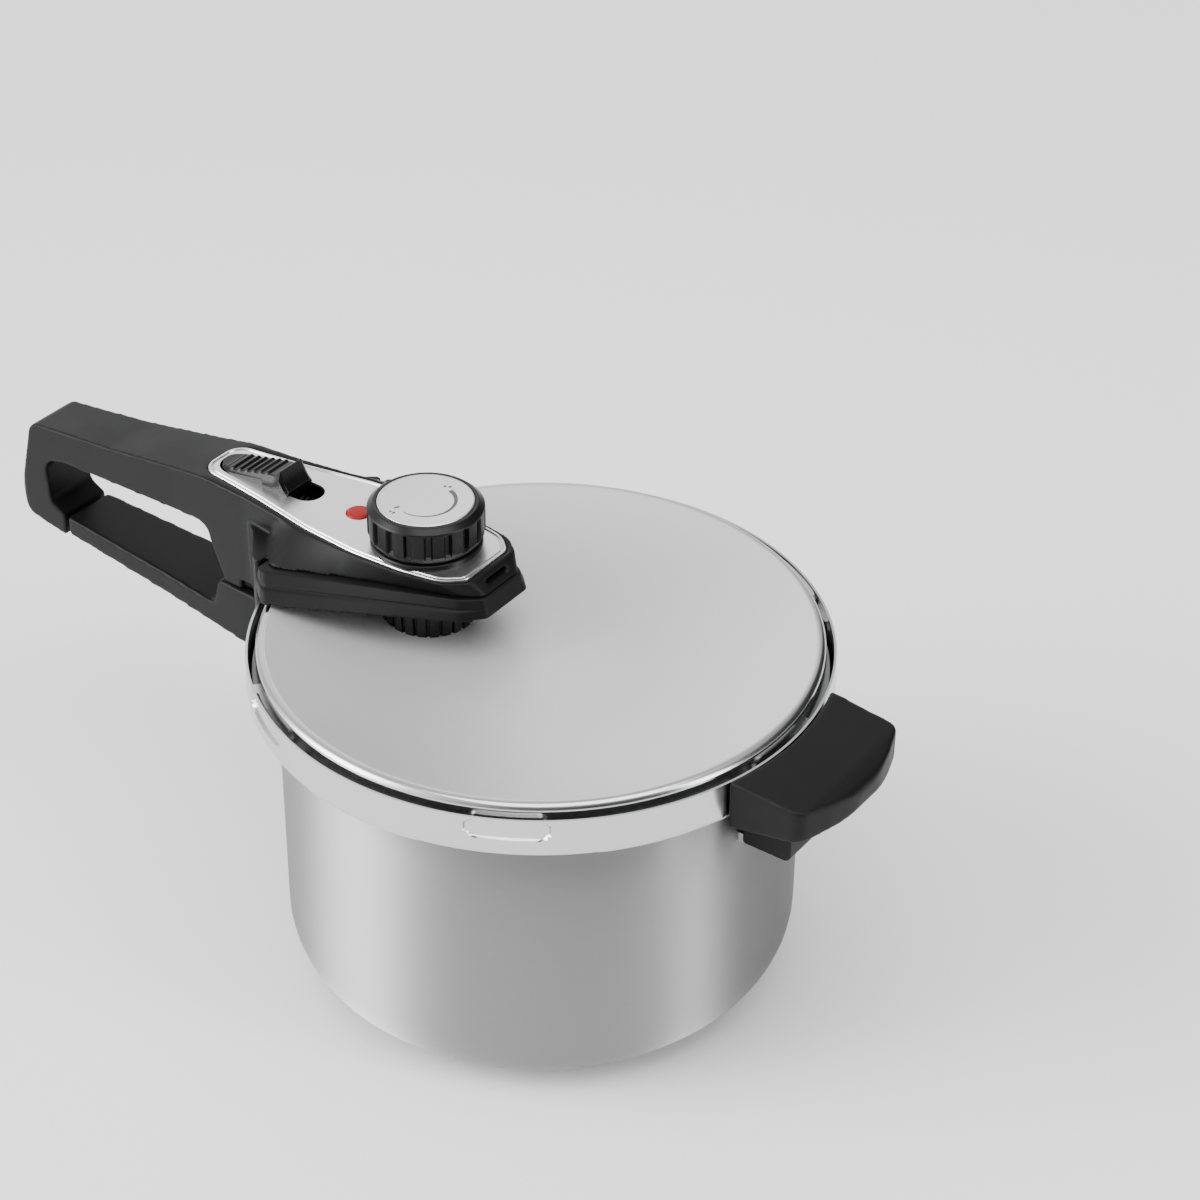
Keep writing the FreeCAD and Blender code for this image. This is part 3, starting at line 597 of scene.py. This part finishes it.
def flange_grooves(points):
    """Draws the flange's sides in along one line that follows its edge, like a mould's joint."""
    tilt = HEAD_TILT * (points[:, 0] + HEAD_RIM)
    height = points[:, 2] - tilt - low_of("head_lower_shell")
    side = np.clip((np.abs(points[:, 1]) - 6) / 6, 0, 1)
    line = np.exp(-((height - GROOVE_RISE) / GROOVE_HALF) ** 2)
    points[:, 1] -= np.sign(points[:, 1]) * GROOVE_DEPTH * line * side
    return points


softened("lid_handle_moulding", "lid_handle", "lid", black_plastic, cell=0.7)
softened(
    "head_lower_moulding", "head_lower_shell", "lid", black_plastic,
    cell=0.5, rounds=4, shape=flange_grooves,
)
softened("pot_handle_moulding", "pot_handle", "pot", black_plastic, cell=0.8)
softened("helper_handle_moulding", "helper_handle", "pot", black_plastic, cell=0.8, rounds=10)
softened(
    "helper_block_moulding", "helper_lower_block", "pot", black_plastic, cell=0.6, rounds=4,
)

# %% [markdown]
# ## The trim plate
# A thin brushed plate covers the head, with a raised bead near its edge and a slot for the slider.
# Its outline is filled between the outer loops and the holes, so the plate stays one clean sheet.

# %% Trim plate
PLATE_TOP = top_of("trim_plate")
PLATE_SCALE = half_width("trim_plate", "y") / 25.7
PLATE_HALF = [
    (-28, 14, 6), (-36, 21.5, 16), (-55, 24.8, 30), (-80, 25.8, 60), (-108, 23.2, 60),
    (-140, 17, 60), (-160, 14, 30), (-176, 12, 11),
]
SLOT = [(-173, -9, 9), (-173, 9, 9), (-118, 7, 7), (-118, -7, 7)]
VALVE_HOLE_R, PIN_HOLE_R = 10.2, 5.75
VALVE = middle_of("pressure_knob")
PIN = middle_of("indicator_button")


def inset(points, amount):
    """Moves a closed outline inward by an amount, along its corner normals."""
    count, result = len(points), []
    for i, (x, y) in enumerate(points):
        (px, py), (nx, ny) = points[i - 1], points[(i + 1) % count]
        tangent = Vector((nx - px, ny - py)).normalized()
        result.append((x + tangent.y * amount, y - tangent.x * amount))
    return result


def circle(centre, radius, steps=64):
    """Points round a circle, in millimetres, about a place in metres."""
    angles = [2 * math.pi * k / steps for k in range(steps)]
    x, y = centre.x / MM, centre.y / MM
    return [(x + radius * math.cos(a), y + radius * math.sin(a)) for a in angles]


def trim_plate():
    """Stacks inset loops into a bead and a groove, then fills the field round the holes."""
    corners = [(x, y * PLATE_SCALE, r) for x, y, r in PLATE_HALF]
    corners += [(x, -y * PLATE_SCALE, r) for x, y, r in reversed(PLATE_HALF)]
    edge = divided(rounded(corners, step=math.radians(6)), 1.5)
    low = low_of("trim_plate")
    rings = [(0.05, low), (0.05, PLATE_TOP - 0.2), (0.3, PLATE_TOP + 0.15), (1.2, PLATE_TOP + 0.2),
             (1.6, PLATE_TOP - 0.45), (2.0, PLATE_TOP - 0.5), (2.4, PLATE_TOP - 0.05)]
    area = sum(a[0] * b[1] - b[0] * a[1] for a, b in zip(edge, edge[1:] + edge[:1]))
    side = -1 if area > 0 else 1
    work = bmesh.new()
    loops = []
    for amount, height in rings:
        loop = inset(edge, side * amount)
        loops.append([work.verts.new((x * MM, y * MM, height * MM)) for x, y in loop])
    for one, two in zip(loops, loops[1:]):
        for i in range(len(one)):
            j = (i + 1) % len(one)
            work.faces.new((one[i], one[j], two[j], two[i]))
    slot = rounded(SLOT, step=math.radians(8))
    last = loops[-1]
    edges = [work.edges.get((last[i], last[(i + 1) % len(edge)])) for i in range(len(edge))]
    for hole in (slot, circle(VALVE, VALVE_HOLE_R), circle(PIN, PIN_HOLE_R)):
        verts = [work.verts.new((x * MM, y * MM, (PLATE_TOP - 0.05) * MM)) for x, y in hole]
        deep = [work.verts.new((x * MM, y * MM, low * MM)) for x, y in hole]
        for i in range(len(verts)):
            j = (i + 1) % len(verts)
            edges.append(work.edges.new((verts[i], verts[j])))
            work.faces.new((verts[i], verts[j], deep[j], deep[i]))
    bmesh.ops.triangle_fill(work, edges=edges, use_beauty=True, use_dissolve=False)
    work.verts.index_update()
    verts = [v.co.copy() for v in work.verts]
    faces = [tuple(v.index for v in f.verts) for f in work.faces]
    work.free()
    return verts, faces


piece("trim_plate_steel", *trim_plate(), "lid", trim_steel, ("trim_plate",), crease=25)

# %% [markdown]
# ## Knob, cap, knob base and the nut under the head
# These are round pieces with flutes. The section sets their height and chamfers, and a warp of
# the radius by angle cuts the flutes, which keeps the whole knob one smooth surface.

# %% Knob and its neighbours
KNOB_R, KNOB_LOW, KNOB_TOP = 25.0, low_of("pressure_knob"), top_of("pressure_knob")
KNOB_FLUTES, FLUTE_DEPTH = 18, 2.0


def knob_warp(angle, radius, height):
    """Cuts round-bottomed flutes in the knob's side that fade out at its top and foot."""
    if radius < KNOB_R - 4:
        return radius, height
    wave = abs(((angle * KNOB_FLUTES / (2 * math.pi)) % 1) - 0.5) * 2
    flute = smooth((0.42 - wave) / 0.16)
    reach = smooth((KNOB_TOP - 2.5 - height) / 1.6) * smooth((height - KNOB_LOW - 2.2) / 1.6)
    return radius - FLUTE_DEPTH * flute * reach, height


knob_section = divided(rounded([
    (9, KNOB_LOW, 0.3), (KNOB_R - 1.8, KNOB_LOW, 0.8), (KNOB_R, KNOB_LOW + 3.5, 1.5),
    (KNOB_R, KNOB_TOP - 2.2, 1.2), (KNOB_R - 2.6, KNOB_TOP, 0.8), (KNOB_R - 4.1, KNOB_TOP, 0.3),
    (KNOB_R - 4.1, KNOB_TOP - 1, 0), (9, KNOB_TOP - 4, 0),
]), 1.0)
knob_mesh = lathe(knob_section, 480, VALVE.xy, knob_warp)
piece("selector_knob", *knob_mesh, "knob", gloss_black, ("pressure_knob",))

CAP_R, CAP_TOP = half_width("knob_cap"), top_of("knob_cap")
cap_section = rounded([
    (0.01, CAP_TOP - 0.25, 0), (CAP_R - 1.1, CAP_TOP - 0.15, 1), (CAP_R - 0.6, CAP_TOP, 0.3),
    (CAP_R, CAP_TOP - 0.3, 0.2), (CAP_R, CAP_TOP - 1.4, 0), (0.01, CAP_TOP - 1.4, 0),
], closed=False)
cap_mesh = lathe(cap_section, 192, VALVE.xy, closed=False)
piece("knob_cap_disc", *cap_mesh, "knob", cap_steel, ("knob_cap",))

CRESCENT_R, CRESCENT_START, CRESCENT_END = 13.2, math.radians(-98), math.radians(72)
# short strokes as (direction in degrees, distance from the middle, length)
STROKES = [(-118, 13.2, 2.6), (-106, 16.6, 1.6), (-112, 16.9, 1.2), (82, 14.2, 1.4), (90, 13.2, 1.4)]


def dial_marks():
    """A crescent scale on the cap, thin at one end and thick at the other, and short strokes."""
    verts, faces = [], []
    level = (CAP_TOP - 0.1) * MM

    def add(outline):
        """Adds one flat face with the given corners."""
        start = len(verts)
        verts.extend((VALVE.x + x * MM, VALVE.y + y * MM, level) for x, y in outline)
        faces.append(tuple(range(start, start + len(outline))))

    steps = 40
    for k in range(steps):
        quad = []
        for t, side in ((k, -1), (k, 1), (k + 1, 1), (k + 1, -1)):
            share = t / steps
            angle = CRESCENT_START + (CRESCENT_END - CRESCENT_START) * share
            half = 0.3 + 1.5 * share ** 1.6
            reach = CRESCENT_R - (half if side < 0 else -half * 0.2)
            quad.append((reach * math.cos(angle), reach * math.sin(angle)))
        add(quad)
    for degrees, reach, length in STROKES:
        angle = math.radians(degrees)
        along = Vector((math.cos(angle), math.sin(angle)))
        across = Vector((-math.sin(angle), math.cos(angle)))
        signs = ((-1, -1), (1, -1), (1, 1), (-1, 1))
        corners = [along * (reach + u * length / 2) + across * v * 0.45 for u, v in signs]
        add([tuple(c) for c in corners])
    return verts, faces


marks = piece("dial_marks", *dial_marks(), "knob", dial_ink)

base_top = top_of("knob_base")
BASE_R, BASE_BORE_R = 24, 10
base_section = rounded([
    (BASE_BORE_R, PLATE_TOP - 0.05, 0), (BASE_R, PLATE_TOP - 0.05, 0), (BASE_R, base_top - 0.6, 1),
    (BASE_R - 2.5, base_top, 1), (BASE_BORE_R, base_top, 0),
])
base_mesh = lathe(base_section, 192, VALVE.xy)
piece("knob_base_ring", *base_mesh, "lid", gloss_black, ("knob_base",))

NUT_R, NUT_BORE_R, NUT_RIBS, RIB_DEPTH = 22.0, 6.2, 24, 1.1
NUT_LOW, NUT_TOP = LID_LOW + LID_SHEET, top_of("support_nut") - 1.0


def nut_warp(angle, radius, height):
    """Cuts slim grooves in the nut's tapered side."""
    if radius < 15:
        return radius, height
    wave = abs(((angle * NUT_RIBS / (2 * math.pi)) % 1) - 0.5) * 2
    return radius - RIB_DEPTH * smooth((0.34 - wave) / 0.2), height


nut_section = divided(rounded([
    (NUT_BORE_R, NUT_LOW - 0.3, 0), (NUT_R - 1.2, NUT_LOW - 0.3, 0), (NUT_R, NUT_TOP, 0),
    (NUT_BORE_R, NUT_TOP, 0),
]), 1.2)
nut_mesh = lathe(nut_section, 416, VALVE.xy, nut_warp)
piece("support_nut_ribbed", *nut_mesh, "lid", gloss_black, ("support_nut",))

# %% [markdown]
# ## The slider
# The slider is a thumb ramp with ribs across it and a thin crest at its inner end. A grid over its
# plan makes the whole top, and a height rule gives the ramp, the crest, the ribs and the sides.

# %% Slider
SLIDE_LOW, SLIDE_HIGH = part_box("lock_slider")
SLIDE_FAR, SLIDE_NEAR = SLIDE_LOW.x / MM, SLIDE_HIGH.x / MM
SLIDE_TOP, SLIDE_HALF = SLIDE_HIGH.z / MM, 8.5
RIB_PITCH, RIB_HEIGHT = 4.0, 0.9
RAMP_FOOT, RAMP_RISE = 1.3, 6.2
CREST_BACK, CREST_FRONT, FOOT_RISE = 4.5, 4.5, 1.6


def slider_height(x):
    """Height of the slider's top without its ribs: a ramp, then a thin crest and a scooped end."""
    climb = smooth((x - SLIDE_FAR - 2) / (SLIDE_NEAR - SLIDE_FAR - 4))
    ramp = PLATE_TOP + RAMP_FOOT + RAMP_RISE * climb
    crest = SLIDE_NEAR - CREST_BACK
    if x > crest:
        fall = (x - crest) / CREST_BACK
        return PLATE_TOP + FOOT_RISE + (SLIDE_TOP - PLATE_TOP - FOOT_RISE) * (1 - fall) ** 1.7
    rise = max(0.0, (x - crest + CREST_FRONT) / CREST_FRONT)
    return ramp + (SLIDE_TOP - ramp) * rise ** 2.2


def slider_mesh():
    """A grid of ramp heights over the slider's plan, closed by walls and a floor."""
    rows, columns = 168, 40
    length = SLIDE_NEAR - SLIDE_FAR
    floor_z = PLATE_TOP - 2.2
    verts, faces = [], []
    for i in range(rows + 1):
        x = SLIDE_FAR + length * i / rows
        nose = min(1.0, (x - SLIDE_FAR) / 9)
        half = max(0.4, SLIDE_HALF * math.sqrt(max(0.0, 1 - (1 - nose) ** 2)))
        ramp = slider_height(x)
        rib = max(0.0, math.sin(2 * math.pi * (x - SLIDE_FAR) / RIB_PITCH)) ** 0.6
        ribbed = smooth((x - SLIDE_FAR - 5) / 2) * smooth((SLIDE_NEAR - 9.5 - x) / 2)
        end = smooth((SLIDE_NEAR - x) / 1.2)
        for j in range(columns + 1):
            across = 2 * j / columns - 1
            crown = 1 - smooth((abs(across) - 0.8) / 0.2)
            height = ramp + RIB_HEIGHT * rib * ribbed * smooth((0.86 - abs(across)) / 0.1)
            top = floor_z + (height - floor_z) * (0.72 + 0.28 * crown) * (0.9 + 0.1 * end)
            verts.append((x * MM, across * half * MM, top * MM))
    width = columns + 1
    for i in range(rows):
        for j in range(columns):
            a = i * width + j
            faces.append((a, a + 1, a + width + 1, a + width))
    border = list(range(width))
    border += [i * width + columns for i in range(1, rows + 1)]
    border += [rows * width + j for j in range(columns - 1, -1, -1)]
    border += [i * width for i in range(rows - 1, 0, -1)]
    start = len(verts)
    verts += [(verts[k][0], verts[k][1], floor_z * MM) for k in border]
    for k in range(len(border)):
        n = (k + 1) % len(border)
        faces.append((border[k], border[n], start + n, start + k))
    faces.append(tuple(range(start, start + len(border))))
    return verts, faces


piece("lock_slider_button", *slider_mesh(), "lock", gloss_black, ("lock_slider",), crease=50)

# %% Red pin
PIN_R, PIN_TOP = half_width("indicator_button"), top_of("indicator_button")
pin_section = rounded([
    (0.01, PIN_TOP, 0), (PIN_R - 0.9, PIN_TOP - 0.05, 2), (PIN_R, PIN_TOP - 0.8, 0.6),
    (PIN_R, PIN_TOP - 5, 0), (0.01, PIN_TOP - 5, 0),
], closed=False)
pin_mesh = lathe(pin_section, 96, PIN.xy, closed=False)
piece("pressure_pin_red", *pin_mesh, "indicator", red_plastic, ("indicator_button",))

# %% [markdown]
# ## Pieces that keep their CAD shape
# Screws, brackets, springs and the valve are small or hidden, and their solids are already true.
# They only need a finish, which goes in the material slot of each CAD object.

# %% Finishes for the CAD pieces
KEPT = {
    small_steel: ["pot_bracket", "pot_handle_screw", "helper_bracket", "helper_screw", "head_screws",
                  "valve_tube", "valve_nut", "valve_plunger", "valve_spring", "indicator_stem",
                  "indicator_bush", "lock_hook", "base_core", "base_pan"],
    gloss_black: ["lock_spring"],
    rim_steel: ["lock_ring"],
    silicone: ["gasket"],
}
for material, names in KEPT.items():
    for name in names:
        mesh = frame["nodes"][name].data
        mesh.materials.clear()
        mesh.materials.append(material)
        mesh.polygons.foreach_set("material_index", [0] * len(mesh.polygons))
print("kept CAD pieces:", sum(len(names) for names in KEPT.values()))

# %% [markdown]
# ## Studio
# The pot stands on a pale floor, with one soft light from the left and a large one overhead. The
# room's walls are bright in two places and dark between them, which gives the brushed steel its
# tall bands, and the ceiling is even.


# %% Floor, lights and world
def floor():
    """A large pale floor that glows a little, like a light table."""
    mesh = bpy.data.meshes.new("floor")
    reach = 6.0
    corners = [(-reach, -reach, 0), (reach, -reach, 0), (reach, reach, 0), (-reach, reach, 0)]
    mesh.from_pydata(corners, [], [(0, 1, 2, 3)])
    material, *_ = finish(
        "pale_floor", (0.9, 0.9, 0.9), 0.0, 0.8, Emission_Color=(1, 1, 1, 1), Emission_Strength=0.08,
    )
    mesh.materials.append(material)
    item = bpy.data.objects.new("floor", mesh)
    bpy.context.scene.collection.objects.link(item)


def softbox(name, azimuth, elevation, distance, width, height, power):
    """A rectangular light that faces the pot from a direction given relative to the camera."""
    turn = AZIMUTH + math.radians(azimuth)
    rise = math.radians(elevation)
    away = Vector((math.sin(turn) * math.cos(rise), -math.cos(turn) * math.cos(rise), math.sin(rise)))
    light = bpy.data.lights.new(name, "AREA")
    light.shape, light.size, light.size_y, light.energy = "RECTANGLE", width, height, power
    item = bpy.data.objects.new(name, light)
    item.location = POT_MIDDLE + away * distance
    item.rotation_mode = "QUATERNION"
    item.rotation_quaternion = (-away).to_track_quat("-Z", "Y")
    bpy.context.scene.collection.objects.link(item)


# Brightness of the room by direction, in degrees to the right of the camera's own side.
ROOM = [
    (-180, 1.90), (-150, 1.60), (-126, 0.90), (-108, 1.60), (-92, 9.50), (-70, 9.50), (-50, 1.80),
    (-28, 0.70), (-6, 0.20), (22, 0.10), (54, 0.10), (60, 8.00), (70, 8.00), (77, 0.10), (112, 0.05),
    (144, 0.06), (166, 1.00),
]


CEILING = (0.95, 0.95, 0.96, 1)
CEILING_START, CEILING_FULL = 0.50, 0.90


def world():
    """A room whose walls are brighter and darker by direction, under an even ceiling."""
    sky = bpy.data.worlds.new("studio")
    bpy.context.scene.world = sky
    sky.use_nodes = True
    tree = sky.node_tree
    back = tree.nodes["Background"]
    split = tree.nodes.new("ShaderNodeSeparateXYZ")
    tree.links.new(tree.nodes.new("ShaderNodeTexCoord").outputs["Generated"], split.inputs[0])
    towards = math_node(tree, "MULTIPLY", split.outputs[1], -1.0)
    angle = math_node(tree, "ARCTAN2", split.outputs[0], towards)
    turned = math_node(tree, "SUBTRACT", angle, AZIMUTH)
    turns = math_node(tree, "DIVIDE", turned, 2 * math.pi)
    share = math_node(tree, "FRACT", math_node(tree, "ADD", turns, 1.5))
    ramp = tree.nodes.new("ShaderNodeValToRGB")
    ramp.color_ramp.interpolation = "EASE"
    stops = ramp.color_ramp.elements
    while len(stops) < len(ROOM):
        stops.new(0.5)
    for stop, (degrees, level) in zip(stops, ROOM):
        stop.position = (degrees + 180) / 360
        stop.color = (level, level, level * 1.01, 1)
    tree.links.new(share, ramp.inputs[0])
    overhead = tree.nodes.new("ShaderNodeMapRange")
    overhead.interpolation_type = "SMOOTHSTEP"
    overhead.inputs["From Min"].default_value = CEILING_START
    overhead.inputs["From Max"].default_value = CEILING_FULL
    tree.links.new(split.outputs[2], overhead.inputs["Value"])
    mix = tree.nodes.new("ShaderNodeMix")
    mix.data_type = "RGBA"
    tree.links.new(overhead.outputs["Result"], mix.inputs[0])
    tree.links.new(ramp.outputs["Color"], mix.inputs[6])
    mix.inputs[7].default_value = CEILING
    tree.links.new(mix.outputs[2], back.inputs["Color"])
    back.inputs["Strength"].default_value = 1.0


floor()
softbox("key_left", azimuth=-76, elevation=30, distance=1.7, width=0.6, height=1.2, power=9)
softbox("top", azimuth=20, elevation=74, distance=1.8, width=1.6, height=1.2, power=24)
world()
